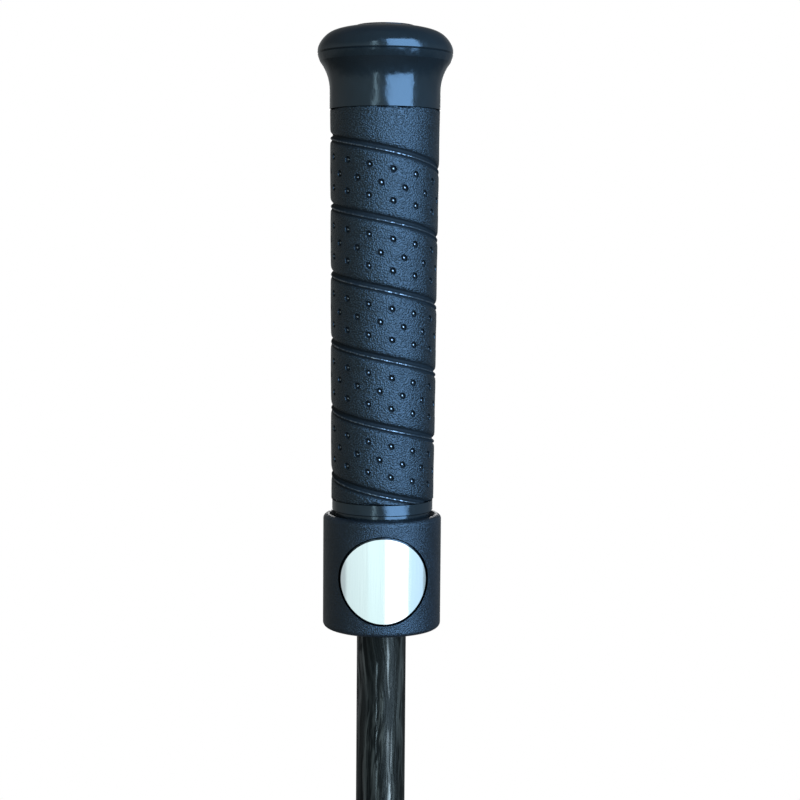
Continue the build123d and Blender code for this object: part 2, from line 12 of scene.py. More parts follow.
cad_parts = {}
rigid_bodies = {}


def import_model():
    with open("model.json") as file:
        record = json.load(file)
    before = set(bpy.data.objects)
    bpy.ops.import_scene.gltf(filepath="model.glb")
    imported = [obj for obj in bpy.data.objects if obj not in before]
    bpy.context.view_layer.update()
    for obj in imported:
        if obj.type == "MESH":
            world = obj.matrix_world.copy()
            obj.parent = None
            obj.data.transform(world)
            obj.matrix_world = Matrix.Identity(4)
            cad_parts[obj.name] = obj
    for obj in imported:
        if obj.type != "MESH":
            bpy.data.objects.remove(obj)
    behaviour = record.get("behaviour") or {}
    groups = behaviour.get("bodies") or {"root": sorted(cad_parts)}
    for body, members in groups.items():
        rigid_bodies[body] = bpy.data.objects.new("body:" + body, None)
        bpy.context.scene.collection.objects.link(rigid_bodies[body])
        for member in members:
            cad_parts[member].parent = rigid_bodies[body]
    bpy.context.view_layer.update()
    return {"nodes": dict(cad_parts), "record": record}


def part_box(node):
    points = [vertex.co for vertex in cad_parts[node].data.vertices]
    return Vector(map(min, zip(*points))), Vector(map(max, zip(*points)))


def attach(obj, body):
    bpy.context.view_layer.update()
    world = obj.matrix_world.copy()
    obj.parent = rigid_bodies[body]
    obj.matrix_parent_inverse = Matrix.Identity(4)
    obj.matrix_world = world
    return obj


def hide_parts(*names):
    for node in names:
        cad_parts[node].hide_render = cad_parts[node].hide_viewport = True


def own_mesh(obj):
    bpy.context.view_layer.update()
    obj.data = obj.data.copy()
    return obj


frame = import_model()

MM = 0.001
NODES = frame["nodes"]
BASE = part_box("collar")[0].z  # underside of the lock collar


# ---------------------------------------------------------------- meshes
def piece(name, verts, faces, smooth=True):
    """A mesh object from plain lists of points and faces."""
    mesh = bpy.data.meshes.new(name)
    mesh.from_pydata([tuple(v) for v in verts], [], [tuple(int(i) for i in f) for f in faces])
    mesh.validate()
    if smooth:
        mesh.polygons.foreach_set("use_smooth", [True] * len(mesh.polygons))
    obj = bpy.data.objects.new(name, mesh)
    bpy.context.scene.collection.objects.link(obj)
    return obj


def finish_piece(obj, body, mat, replaced=()):
    """Gives a piece its material and body, and hides the CAD nodes that it stands for."""
    obj.data.materials.clear()
    obj.data.materials.append(mat)
    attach(obj, body)
    if replaced:
        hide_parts(*replaced)


# ---------------------------------------------------------------- wound grip, in millimetres
WRAP_MATERIALS = ("grip_tape", "grip_groove_shade", "grip_rib")
WRAP_PITCH = 21.5
LEFT_SIDE = -90  # degrees from the front, where each turn is counted from
SEAM_TOP_LEFT = 158.3  # height of the first seam there, over the collar's underside
FIRST_TURN, LAST_TURN = -1.6, 6.0  # the ends of the tape's grid, in turns from the front
GRID_MARGIN = 1.4  # how far the tape's grid runs past the ends of the grip
BOTTOM_EDGE_R, TOP_EDGE_R = 0.3, 0.08
TUCKED_IN = 1.0  # how far an end turns in past its rounded edge, at most
NECK_GAP = 0.08  # the tape is stretched up against the neck
FRONT_BOW = 0.85  # how far the turns rise at the front, at the top of the grip
LEAST_BOW = 0.2  # the share of that bow which is left at the bottom
WRAP_TAPER = 0.9  # how much larger the grip's radius is at its top than at its bottom
MEAN_R = 17.0  # by which distances round the grip become degrees
LONG_WAVE, SHORT_WAVE = 0.05, 0.03  # how uneven the tape lies
TAPE_SUNK = 0.08  # keeps its highest places within the grip's radius
SEAM_VARIES = 0.1  # the share by which a seam's depth comes and goes
RIB = (0.9, 1.35)  # distances below a seam between which the stitched rib lies
GROOVES = [(-1.0, 0.85), (1.35, 2.1), (20.9, 22.0)]  # those between which a groove's bottom lies, which gets the duller material of painted shade
SEAM_PROFILE = [  # distance below a seam and height: groove, stitched rib, fine second groove, tape
    (0.0, -0.98),
    (0.35, -0.94),
    (0.6, -0.66),
    (0.85, -0.22),
    (1.1, -0.06),
    (1.3, -0.12),
    (1.55, -0.46),
    (1.8, -0.60),
    (2.1, -0.42),
    (2.4, -0.14),
    (2.9, -0.03),
    (3.6, 0.0),
    (18.3, 0.0),
    (19.8, -0.03),
    (20.5, -0.15),
    (20.9, -0.45),
    (21.2, -0.84),
    (21.5, -0.98),
]
LEVEL_TAPE = (4.0, 17.5)  # distances below a seam between which only the dimples need grid lines
DIMPLES_PER_TURN = 14
DIMPLE_STEP = 360 / DIMPLES_PER_TURN
DIMPLE_ROWS = (6.15, 11.05, 15.85)  # below the seam over them
DIMPLE_PHASE = 7.2  # degrees right of the front, for the outer rows; the middle row lies half a step on
DIMPLE_DRIFT = 0.1  # how far a dimple lies off its place
DIMPLED_TURNS = 5  # from the first seam down
PATCH_HALF = 1.2  # half the side of the square patch round a dimple
PATCH_CELLS = 5
GAP_CELLS = 2  # between one patch and the next
MOAT = (-0.75, -0.30)  # depths between which the bottom of a dimple lies, which gets the duller material of painted shade
FULL_DENT = 0.2  # the depth from which the tape is fully as inside a dimple: smoother, and painted darker as shade
DOME_RINGS = 3  # the last rings of the dimple's profile, which are its dome
DIMPLE_PROFILE = [  # radius and height of the rings of a dimple: rim, moat and a small dome in its middle
    (1.12, 0.02),
    (1.02, -0.04),
    (0.95, -0.28),
    (0.86, -0.62),
    (0.72, -0.78),
    (0.58, -0.66),
    (0.46, -0.38),
    (0.32, -0.24),
    (0.12, -0.17),
]


def evenly(start, end, cells):
    """The lines of so many even cells, without the last one."""
    return list(np.linspace(start, end, cells + 1))[:-1]


def wrap_lines():
    """Grid lines of the tape: degrees within one dimple step, and distances below the seam."""
    half = math.degrees(PATCH_HALF / MEAN_R)
    across = []
    for middle in (0, DIMPLE_STEP / 2):
        across += evenly(middle - half, middle + half, PATCH_CELLS)
        across += evenly(middle + half, middle + DIMPLE_STEP / 2 - half, GAP_CELLS)
    down = [below for below, _ in SEAM_PROFILE if below < LEVEL_TAPE[0]]
    for row, next_row in zip(DIMPLE_ROWS, DIMPLE_ROWS[1:]):
        down += evenly(row - PATCH_HALF, row + PATCH_HALF, PATCH_CELLS)
        down += evenly(row + PATCH_HALF, next_row - PATCH_HALF, GAP_CELLS)
    last = DIMPLE_ROWS[-1]
    down += evenly(last - PATCH_HALF, last + PATCH_HALF, PATCH_CELLS) + [last + PATCH_HALF]
    down += [below for below, _ in SEAM_PROFILE if LEVEL_TAPE[1] < below < WRAP_PITCH]
    return np.array(across), np.array(down)


def hand_wound(phase, turn, below):
    """The share of its depth that a seam has, and how far the tape stands off an even winding."""
    depth = 1 - SEAM_VARIES + SEAM_VARIES * np.sin(phase * 0.7 + turn)
    off = LONG_WAVE * np.sin(phase * 2 + turn * 1.7) + SHORT_WAVE * np.sin(phase * 5 + below * 0.3)
    return depth, off - TAPE_SUNK


def wrap_points(degrees, below, dent):
    """Places, in metres, of points on the tape, and which of them lie on it at all."""
    low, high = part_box("grip_wrap")
    bottom, top, r_top = (low.z - BASE) / MM, (high.z - BASE) / MM + NECK_GAP, high.x / MM
    phase = np.radians(degrees)
    raw = SEAM_TOP_LEFT - WRAP_PITCH * (degrees - LEFT_SIDE) / 360 - below
    raw += FRONT_BOW * np.cos(phase) * np.clip((raw - bottom) / (top - bottom), LEAST_BOW, 1)
    depth, off = hand_wound(phase, np.floor((degrees - LEFT_SIDE) / 360), below)
    seam = np.interp(below, *zip(*SEAM_PROFILE)) * depth
    radius = r_top - WRAP_TAPER * (top - raw) / (top - bottom) + seam + off + dent
    height = raw
    for sign, limit, edge_r in ((1, top, TOP_EDGE_R), (-1, bottom, BOTTOM_EDGE_R)):
        over = sign * (raw - limit) + edge_r
        angle = np.clip(over / edge_r, 0, math.pi / 2)
        inward = edge_r * (1 - np.cos(angle)) + np.clip(over - edge_r * math.pi / 2, 0, TUCKED_IN)
        height = np.where(over > 0, limit - sign * edge_r * (1 - np.sin(angle)), height)
        radius = np.where(over > 0, radius - inward, radius)
    places = np.stack([radius * np.sin(phase), -radius * np.cos(phase), height + BASE / MM], -1)
    return places * MM, (raw < top + GRID_MARGIN) & (raw > bottom - GRID_MARGIN)


def patch_loop():
    """The grid points round a patch, anticlockwise as seen from outside, from its upper left one."""
    n = PATCH_CELLS
    loop = [(0, j) for j in range(n)] + [(i, n) for i in range(n)]
    loop += [(n, n - j) for j in range(n)] + [(n - i, 0) for i in range(n)]
    return np.array(loop).T


def face_kind(below, dent):
    """The number, in WRAP_MATERIALS, of the material on a face of the tape."""
    middle = below.mean() if np.ptp(below) < WRAP_PITCH / 2 else 0
    in_groove = any(start < middle < end for start, end in GROOVES)
    if RIB[0] < middle < RIB[1]:
        return WRAP_MATERIALS.index("grip_rib")
    # painted shade: grooves and the dimples' moats get the duller, darker material
    if in_groove or MOAT[0] < dent.mean() < MOAT[1]:
        return WRAP_MATERIALS.index("grip_groove_shade")
    return WRAP_MATERIALS.index("grip_tape")


def add_dimples(values, outer, centre, row, around, rng):
    """Adds the rings of a row's dimples, inwards from the edges of their patches; returns their faces."""
    faces = []
    shift = rng.uniform(-DIMPLE_DRIFT, DIMPLE_DRIFT, (2, len(outer), 1))
    for n, (radius, dent) in enumerate(DIMPLE_PROFILE):
        inner = sum(map(len, values["angle"])) + np.arange(outer.size).reshape(outer.shape)
        aside = np.degrees((shift[0] + radius * np.cos(around)) / MEAN_R)
        values["angle"].append((centre + aside).ravel())
        values["below"].append((row + shift[1] + radius * np.sin(around)).ravel())
        values["dent"].append(np.full(outer.size, dent))
        values["dome"].append(np.full(outer.size, float(n >= len(DIMPLE_PROFILE) - DOME_RINGS)))
        ring = [outer, np.roll(outer, -1, 1), np.roll(inner, -1, 1), inner]
        faces += np.stack(ring, -1).reshape(-1, 4).tolist()
        outer = inner
    return faces + outer.tolist()


def dimple_faces(degrees, per_step, down, ids, covered, values):
    """The faces of all dimples, whose patches are marked as covered in the grid."""
    faces = []
    loop_i, loop_j = patch_loop()
    cells = np.arange(PATCH_CELLS)
    rng = np.random.default_rng(7)
    for k, row in enumerate(DIMPLE_ROWS):
        top_row = int(np.argmin(abs(down - (row - PATCH_HALF))))
        column = np.arange(0, len(degrees), per_step) + (PATCH_CELLS + GAP_CELLS) * (k % 2)
        centre = degrees[column] + math.degrees(PATCH_HALF / MEAN_R)
        wanted = (centre > LEFT_SIDE) & (centre < LEFT_SIDE + 360 * DIMPLED_TURNS)
        column, centre = column[wanted][:, None], centre[wanted][:, None]
        covered[(column + cells)[:, :, None], top_row + cells] = True
        reach = np.radians(degrees[column[0] + loop_i] - centre[0]) * MEAN_R
        around = np.arctan2(down[top_row + loop_j] - row, reach)
        outer = ids[column + loop_i, top_row + loop_j]
        faces += add_dimples(values, outer, centre, row, around, rng)
    return faces


def tape_faces(ids, covered, per_turn):
    """The faces of the grid that no dimple covers; a turn's last row is joined to the row under it."""
    under = np.full((len(ids), 1), -1)
    under[:-per_turn, 0] = ids[per_turn:, 0]
    joined = np.hstack([ids, under])
    ring = [joined[:-1, :-1], joined[:-1, 1:], joined[1:, 1:], joined[1:, :-1]]
    quads = np.stack(ring, -1)[~covered[:-1]]
    return quads[(quads >= 0).all(1)].tolist()


def wrap_mesh():
    """The wound tape, a helical grid with a patch let into it for each dimple, and its face kinds."""
    across, down = wrap_lines()
    steps = np.arange(round(FIRST_TURN * DIMPLES_PER_TURN), round(LAST_TURN * DIMPLES_PER_TURN))
    degrees = (DIMPLE_PHASE + steps[:, None] * DIMPLE_STEP + across).reshape(-1)
    grid_a, grid_s = np.meshgrid(degrees, down, indexing="ij")
    ids = np.arange(grid_a.size).reshape(grid_a.shape)
    covered = np.zeros(grid_a.shape, bool)
    values = {"angle": [grid_a.ravel()], "below": [grid_s.ravel()]}
    values.update({name: [np.zeros(grid_a.size)] for name in ("dent", "dome")})
    faces = dimple_faces(degrees, len(across), down, ids, covered, values)
    faces += tape_faces(ids, covered, len(across) * DIMPLES_PER_TURN)

    values = {name: np.concatenate(each) for name, each in values.items()}
    points, on_tape = wrap_points(values["angle"], values["below"], values["dent"])
    faces = [face for face in faces if on_tape[face].any()]
    used = np.unique(np.concatenate(faces))
    place = np.zeros(len(points), int)
    place[used] = np.arange(len(used))
    obj = piece("grip_wrap_skin", points[used], [place[face] for face in faces])
    # the dimple mask makes the tape smoother and paints shade into the dimples; the dome mask makes their
    # domes glossy
    masks = {"dimple": np.clip(-values["dent"] / FULL_DENT, 0, 1), "dome": values["dome"]}
    for name, mask in masks.items():
        data = obj.data.attributes.new(name, "FLOAT", "POINT")
        data.data.foreach_set("value", mask[used].astype(np.float32))
    return obj, [face_kind(values["below"][face], values["dent"][face]) for face in faces]


# ---------------------------------------------------------------- pad, in millimetres
PAD_CORNER_R = 30.0  # of the pad's plan outline
CORNER_POINTS = 46  # on each of the outline's corners
COVER_POINTS = 180  # round the cover before it swells
PAD_START = [  # inset and height round that cover: sole, side, hem, dish for the loop tape
    (10.0, 0.0),
    (5.0, 0.0),
    (2.0, 0.4),
    (0.7, 1.8),
    (0.2, 4.0),
    (-0.2, 8.0),
    (0.0, 12.0),
    (0.3, 14.2),
    (1.2, 15.6),
    (3.0, 16.3),
    (7.6, 16.3),
    (9.4, 15.6),
    (14.0, 15.6),
]
PAD_VOXEL = 4.0  # side of the cells that the cover is made even with before it swells
PAD_PRESSURE = 12.0  # inside the cover, in the cloth simulation's unit
CLOTH_MASS = 0.0012  # of each vertex, in kilograms
CLOTH_SLACK = 0.05  # how much longer the cloth is than the shape it starts from
SWELL_FRAMES = 20
SWELL_CAP = 2.5  # no point moves further than this
SOLE_HELD, HEM_HELD = 1.2, 13.5  # the cloth below and above these heights is held, flat and folded in
PAD_TOP = 16.4
SEAM_Z, SEAM_DEPTH, SEAM_SPREAD = 3.0, 0.7, 0.8  # where the sole's cloth is sewn to the side's
SIDE_INSET, SIDE_BLEND = 6.0, 4.0  # the side begins so far within the outline, over this width
STUFFED_INSET = 0.1  # the stuffed side lies no further within the outline than this
STUFFED_FROM, STUFFED_RISE, STUFFED_FALL = 0.8, 1.6, 1.5  # where it begins, how it comes and goes
GATHER_LENGTH = 4.6
FOLD_STRETCH = 2.3  # how many times longer than a gather a fold down the side is
FOLD_DEPTH, FLAT_SHARE, FOLD_BLEND = 1.1, 0.3, 4.0  # what is left between corners, and where folds begin
SOLE_Z, SOLE_LIFT, LIFT_INSET = 1.0, 0.3, 4.0  # the sole's edge is drawn up a little by the gathers
BINDING_Z = 14.4  # height of the tape that is bound round the hem
BINDING_SECTION = [  # height and distance out from the cloth, round the folded tape
    (-1.8, -0.5),
    (-1.8, 0.25),
    (-1.5, 0.6),
    (0, 0.7),
    (1.5, 0.6),
    (1.8, 0.25),
    (1.8, -0.5),
    (0, -0.6),
]
GATHERS = [(SEAM_Z, 0.7, 2.6), (BINDING_Z, 0.6, 3.0)]  # height, depth, and reach up and down
BAND_POINTS = 360  # round the pad
PIPING_R, PIPING_OUT = 0.6, 0.15  # and how far its middle lies out from the cloth
PIPING_SIDES = 8
BOARD_INSET = 0.3  # how far within the outline the cloth beside the board may lie
RAY_START = 20.0  # outside the outline
STITCH_PITCH = 3.2
STITCH_ARCH = [  # distance along, height and radius of the rings of a stitch
    (-1.05, -0.35, 0.14),
    (-0.7, 0.05, 0.24),
    (0, 0.16, 0.26),
    (0.7, 0.05, 0.24),
    (1.05, -0.35, 0.14),
]
STITCH_SIDES = 6
BINDING_OUT = 0.7  # how far the binding's stitches lie out from the cloth
SEAM_STITCH_RISE = 1.9  # of the seam's stitches over the seam


def outline_core():
    """Half sides of the rectangle that the pad's outline keeps a constant distance from."""
    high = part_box("pad_cover")[1]
    return np.array([high.x / MM - PAD_CORNER_R, high.y / MM - PAD_CORNER_R])


def outline_ring(count):
    """Points evenly round the outline, a stitch apart if count is 0, and the outward directions there."""
    turns = np.radians(np.linspace(0, 90, CORNER_POINTS))
    places, outward = [], []
    for k, signs in enumerate([(1, 1), (-1, 1), (-1, -1), (1, -1)]):
        facing = np.stack([np.cos(turns + k * math.pi / 2), np.sin(turns + k * math.pi / 2)], -1)
        outward.append(facing)
        places.append(outline_core() * signs + PAD_CORNER_R * facing)
    places, outward = (np.concatenate(each + [each[0][:1]]) for each in (places, outward))
    way = np.concatenate([[0], np.cumsum(np.linalg.norm(np.diff(places, axis=0), axis=1))])
    count = count or round(way[-1] / STITCH_PITCH)
    at = np.linspace(0, way[-1], count, endpoint=False)
    places = np.stack([np.interp(at, way, places[:, k]) for k in (0, 1)], -1)
    outward = np.stack([np.interp(at, way, outward[:, k]) for k in (0, 1)], -1)
    return places, outward / np.linalg.norm(outward, axis=1)[:, None]


def ring_faces(rows, count, closed_rows=False):
    """Quads between rows of points that go round, each row holding so many points."""
    faces = []
    for r in range(rows if closed_rows else rows - 1):
        low, high = r * count, (r + 1) % rows * count
        for k in range(count):
            after = (k + 1) % count
            faces.append((low + k, low + after, high + after, high + k))
    return faces


def capped_faces(rows, count):
    """The faces of a closed tube: those between its rows of points, and a cap on either end."""
    caps = [range(count)[::-1], range((rows - 1) * count, rows * count)]
    return ring_faces(rows, count) + caps


def settle(obj):
    """Applies obj's modifiers to its mesh."""
    graph = bpy.context.evaluated_depsgraph_get()
    mesh = bpy.data.meshes.new_from_object(obj.evaluated_get(graph))
    obj.modifiers.clear()
    obj.data = mesh
    mesh.polygons.foreach_set("use_smooth", [True] * len(mesh.polygons))


def get_points(mesh):
    """The places of a mesh's points, in millimetres."""
    values = np.empty(len(mesh.vertices) * 3)
    mesh.vertices.foreach_get("co", values)
    return values.reshape(-1, 3) / MM


def set_points(mesh, points):
    """Moves a mesh's points to places in millimetres."""
    mesh.vertices.foreach_set("co", (points * MM).ravel())
    mesh.update()


def swell(obj):
    """Blows the stuffed cover's side up with Blender's cloth, its sole and hem held."""
    start = get_points(obj.data)
    held = obj.vertex_groups.new(name="held")
    held.add([k for k, z in enumerate(start[:, 2]) if not SOLE_HELD < z < HEM_HELD], 1.0, "ADD")
    cloth = obj.modifiers.new("cloth", "CLOTH")
    cloth.settings.use_pressure = True
    cloth.settings.uniform_pressure_force = PAD_PRESSURE
    cloth.settings.effector_weights.gravity = 0
    cloth.settings.mass = CLOTH_MASS
    cloth.settings.shrink_min = -CLOTH_SLACK
    cloth.settings.vertex_group_mass = "held"
    cloth.point_cache.frame_start = 1
    cloth.point_cache.frame_end = SWELL_FRAMES
    for number in range(1, SWELL_FRAMES + 1):
        bpy.context.scene.frame_set(number)
    settle(obj)
    bpy.context.scene.frame_set(1)
    move = get_points(obj.data) - start
    size = np.linalg.norm(move, axis=1)[:, None]
    set_points(obj.data, start + move * np.minimum(1, SWELL_CAP / np.maximum(size, 1e-9)))
    obj.vertex_groups.clear()


def wrinkles(edge, seed, stretch=1.0):
    """Smooth noise, from -1 to 1, at places along the pad's edge."""
    return np.array([simplex.noise(Vector((x / stretch, y / stretch, seed))) for x, y in edge])


def sew(points):
    """Flattens the sole, draws the cloth in along the seam, and gathers it at seams and corners."""
    core = np.clip(points[:, :2], -outline_core(), outline_core())
    away = points[:, :2] - core
    reach = np.linalg.norm(away, axis=1)
    outward = away / np.maximum(reach, 1e-6)[:, None]
    edge = (core + outward * PAD_CORNER_R) / GATHER_LENGTH
    gather, fold = wrinkles(edge, 0.3), wrinkles(edge, 5.1, FOLD_STRETCH)
    corner = (2 * outward[:, 0] * outward[:, 1]) ** 2
    z = points[:, 2]
    side = np.clip((reach - PAD_CORNER_R + SIDE_INSET) / SIDE_BLEND, 0, 1)
    stuffed = side * np.clip((z - STUFFED_FROM) / STUFFED_RISE, 0, 1)
    stuffed *= np.clip((PAD_TOP - z) / STUFFED_FALL, 0, 1)
    push = stuffed * np.maximum(PAD_CORNER_R - STUFFED_INSET - reach, 0)
    push -= SEAM_DEPTH * np.exp(-(((z - SEAM_Z) / SEAM_SPREAD) ** 2))
    for height, depth, spread in GATHERS:
        push += depth * gather * np.exp(-np.abs(z - height) / spread)
    push += FOLD_DEPTH * fold * (FLAT_SHARE + corner) * np.clip((z - SEAM_Z) / FOLD_BLEND, 0, 1)
    near_edge = np.clip(1 - np.abs(reach - PAD_CORNER_R + LIFT_INSET) / LIFT_INSET, 0, 1)
    lift = SOLE_LIFT * (gather + 1) * near_edge * (z < SOLE_Z)
    moved = points.copy()
    moved[:, :2] += outward * (push * side)[:, None]
    moved[:, 2] = np.clip(z, 0, PAD_TOP) + lift
    return moved


def pad_skin():
    """The pad's cloth cover, stuffed: swollen by simulation, then sewn."""
    count = COVER_POINTS
    ring, outward = outline_ring(count)
    verts = [np.column_stack([ring - outward * inset, np.full(count, z)]) for inset, z in PAD_START]
    obj = piece("pad_skin", np.concatenate(verts) * MM, capped_faces(len(PAD_START), count))
    remesh = obj.modifiers.new("remesh", "REMESH")
    remesh.mode = "VOXEL"
    remesh.voxel_size = PAD_VOXEL * MM
    settle(obj)
    swell(obj)
    finer = obj.modifiers.new("finer", "SUBSURF")
    finer.levels = finer.render_levels = 2
    settle(obj)
    set_points(obj.data, sew(get_points(obj.data)))
    return obj


def cloth_surface(skin):
    """A function that gives the cover's place at a height, straight in from a point on the outline.

    Over the underside of the board inside, that place lies no deeper than the board's edge.
    """
    mesh = skin.data
    board_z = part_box("pad_board")[0].z / MM
    points = [v.co for v in mesh.vertices]
    tree = BVHTree.FromPolygons(points, [tuple(p.vertices) for p in mesh.polygons])

    def find(place, outward, z):
        start = Vector((*(place + outward * RAY_START), z)) * MM
        hit = np.array(tree.ray_cast(start, Vector((*-outward, 0)))[0]) / MM
        if z > board_z:
            depth = (place - hit[:2]) @ outward
            hit[:2] += outward * max(0, depth - BOARD_INSET)
        return hit

    return find


def pad_band(name, find, z, section):
    """A closed band round the pad at a height: section holds height and distance out from the cloth."""
    ring, outward = outline_ring(BAND_POINTS)
    verts = []
    for rise, out in section:
        for place, facing in zip(ring, outward):
            verts.append(find(place, facing, z) + np.array([*facing * out, rise]))
    return piece(name, np.array(verts) * MM, ring_faces(len(section), len(ring), True))


def pad_stitches(name, find, z, out):
    """A row of thread stitches round the pad at a height."""
    ring, outward = outline_ring(0)
    angles = np.linspace(0, 2 * math.pi, STITCH_SIDES, False)
    body = capped_faces(len(STITCH_ARCH), STITCH_SIDES)
    verts, faces = [], []
    for place, facing in zip(ring, outward):
        across = np.array([-facing[1], facing[0], 0])
        centre = find(place, facing, z) + np.array([*facing * out, 0])
        first = len(verts)
        for along, rise, radius in STITCH_ARCH:
            for angle in angles:
                ringed = np.array([*facing * (rise + radius * math.cos(angle)), radius * math.sin(angle)])
                verts.append(centre + across * along + ringed)
        faces += [[first + k for k in face] for face in body]
    return piece(name, np.array(verts) * MM, faces)


def add_pad():
    """The stuffed cover, the tape bound round its hem, the piping in its seam and the stitches."""
    skin = pad_skin()
    find = cloth_surface(skin)
    angles = np.linspace(0, 2 * math.pi, PIPING_SIDES, False)
    piping = [(PIPING_R * math.sin(a), PIPING_OUT + PIPING_R * math.cos(a)) for a in angles]
    bands = [
        (pad_band("pad_binding", find, BINDING_Z, BINDING_SECTION), "binding_tape"),
        (pad_band("pad_piping", find, SEAM_Z, piping), "binding_tape"),
        (pad_stitches("binding_stitches", find, BINDING_Z, BINDING_OUT), "thread"),
        (pad_stitches("seam_stitches", find, SEAM_Z + SEAM_STITCH_RISE, 0.0), "thread"),
    ]
    for obj, mat in bands:
        finish_piece(obj, "head", MATERIALS[mat])
    finish_piece(skin, "head", MATERIALS["pad_cloth"], ["pad_cover", "foam_pad"])


# ---------------------------------------------------------------- materials
def new_material(name):
    """A material with its node tree, and the shader's sockets by name."""
    mat = bpy.data.materials.new(name)
    mat.use_nodes = True
    return mat, mat.node_tree, mat.node_tree.nodes["Principled BSDF"]


def node(tree, kind, settings=None, inputs=None):
    """A shader node with settings, and inputs that are either linked sockets or values."""
    made = tree.nodes.new("ShaderNode" + kind)
    for key, value in (settings or {}).items():
        setattr(made, key, value)
    for key, value in (inputs or {}).items():
        if isinstance(value, bpy.types.NodeSocket):
            tree.links.new(value, made.inputs[key])
        else:
            made.inputs[key].default_value = value
    return made


def coords(tree, scale):
    """Object coordinates in metres, scaled differently along each axis."""
    source = node(tree, "TexCoord").outputs["Object"]
    return node(tree, "Mapping", {"vector_type": "POINT"}, {"Vector": source, "Scale": scale}).outputs[0]


def noise(tree, vector, scale=1.0, detail=3.0, roughness=0.5):
    """Smooth noise, around 0.5, with so many features to a metre."""
    inputs = {"Vector": vector, "Scale": scale, "Detail": detail, "Roughness": roughness}
    return node(tree, "TexNoise", None, inputs).outputs["Fac"]


def cell_distance(tree, vector, scale):
    """Distance to the middle of the nearest of irregular cells, with so many cells to a metre."""
    made = node(tree, "TexVoronoi", {"feature": "F1"}, {"Vector": vector, "Scale": scale})
    return made.outputs["Distance"]


def point_value(tree, name):
    """A value that is stored with the mesh's points."""
    return node(tree, "Attribute", {"attribute_name": name}).outputs["Fac"]


def mixed_colour(tree, factor, first, second):
    """The first colour where the factor is 0, and the second where it is 1."""
    inputs = {"Fac": factor, "Color1": first, "Color2": second}
    return node(tree, "MixRGB", None, inputs).outputs[0]


def ramp(tree, factor, stops):
    """A colour ramp from (position, colour or grey) stops."""
    made = node(tree, "ValToRGB", None, {"Fac": factor})
    elements = made.color_ramp.elements
    while len(elements) < len(stops):
        elements.new(0.5)
    for element, (position, colour) in zip(elements, stops):
        element.position = position
        element.color = (*colour, 1) if isinstance(colour, tuple) else (colour, colour, colour, 1)
    return made.outputs["Color"]


def maths(tree, operation, a, b=0.0, clamp=False):
    """Arithmetic with two sockets or numbers."""
    return node(tree, "Math", {"operation": operation, "use_clamp": clamp}, {0: a, 1: b}).outputs[0]


def weighted(tree, first, share, second, other_share):
    """The sum of two sockets, each times its share."""
    first = maths(tree, "MULTIPLY", first, share)
    second = maths(tree, "MULTIPLY", second, other_share)
    return maths(tree, "ADD", first, second)


def remap(tree, value, low, high, to_low, to_high):
    """Carries the values between low and high over to those between to_low and to_high."""
    inputs = {"Value": value, "From Min": low, "From Max": high, "To Min": to_low, "To Max": to_high}
    return node(tree, "MapRange", None, inputs).outputs["Result"]


def bump(tree, shader, height, distance, strength=1.0):
    """Relief whose full height is the distance, in metres."""
    made = node(tree, "Bump", None, {"Height": height, "Distance": distance, "Strength": strength})
    tree.links.new(made.outputs["Normal"], shader.inputs["Normal"])


PAINTED_COOL_TINT = (0.85, 0.95, 1.0, 1)  # a cool tint painted on the reflections of black rubber and plastic, standing in for the bluish window light


def grip_tape():
    """Pebbled black tape, smoother in its dimples and painted darker there as shade, whose small domes
    are glossy.
    """
    mat, tree, shader = new_material("grip_tape")
    place = coords(tree, (1, 1, 1))
    warp = node(tree, "TexNoise", None, {"Vector": place, "Scale": 1400.0, "Detail": 2.0})
    bend = {0: warp.outputs["Color"], 1: (0.0004,) * 3, 2: place}
    moved = node(tree, "VectorMath", {"operation": "MULTIPLY_ADD"}, bend).outputs[0]
    grain = remap(tree, cell_distance(tree, moved, 2100.0), 0.05, 0.75, 1.0, 0.0)
    fine = noise(tree, place, 3600.0, 3.0)
    dimple = point_value(tree, "dimple")
    cloud = noise(tree, place, 70.0, 4.0, 0.6)
    worn = weighted(tree, cloud, 0.4, grain, 0.6)
    dark, light = (0.0020, 0.0028, 0.0030), (0.0085, 0.0115, 0.0130)
    tone = ramp(tree, worn, [(0.3, dark), (0.8, light)])
    # painted shade: down in the dimples the tape is coloured darker
    painted_dimple_shade = mixed_colour(tree, dimple, tone, (0.0015, 0.0018, 0.002, 1))
    tree.links.new(painted_dimple_shade, shader.inputs["Base Color"])
    rough = remap(tree, grain, 0.0, 1.0, 0.38, 0.17)
    smoother = maths(tree, "SUBTRACT", rough, maths(tree, "MULTIPLY", dimple, 0.2), True)
    tree.links.new(smoother, shader.inputs["Roughness"])
    shader.inputs["Specular IOR Level"].default_value = 0.32
    shader.inputs["Specular Tint"].default_value = PAINTED_COOL_TINT
    tree.links.new(point_value(tree, "dome"), shader.inputs["Coat Weight"])
    shader.inputs["Coat Roughness"].default_value = 0.12
    shader.inputs["Coat IOR"].default_value = 2.2
    calm = maths(tree, "SUBTRACT", 1.0, dimple, True)
    pebbles = maths(tree, "ADD", grain, maths(tree, "MULTIPLY", fine, 0.3))
    bump(tree, shader, maths(tree, "MULTIPLY", pebbles, calm), 0.00015, 1.0)
    return mat


def grip_groove_shade():
    """The bottoms of the seams and dimples, duller than the tape so that they look dark: painted shade.
    """
    mat, tree, shader = new_material("grip_groove_shade")
    fine = noise(tree, coords(tree, (1, 1, 1)), 2600.0, 3.0)
    dark, light = (0.0024, 0.0030, 0.0032), (0.0070, 0.0086, 0.0092)
    tone = ramp(tree, fine, [(0.3, dark), (0.8, light)])
    tree.links.new(tone, shader.inputs["Base Color"])
    tree.links.new(remap(tree, fine, 0.3, 0.7, 0.55, 0.75), shader.inputs["Roughness"])
    # painted shade: little specular, so that grooves and moats stay dark under any light
    shader.inputs["Specular IOR Level"].default_value = 0.1
    bump(tree, shader, fine, 0.00012, 1.0)
    return mat


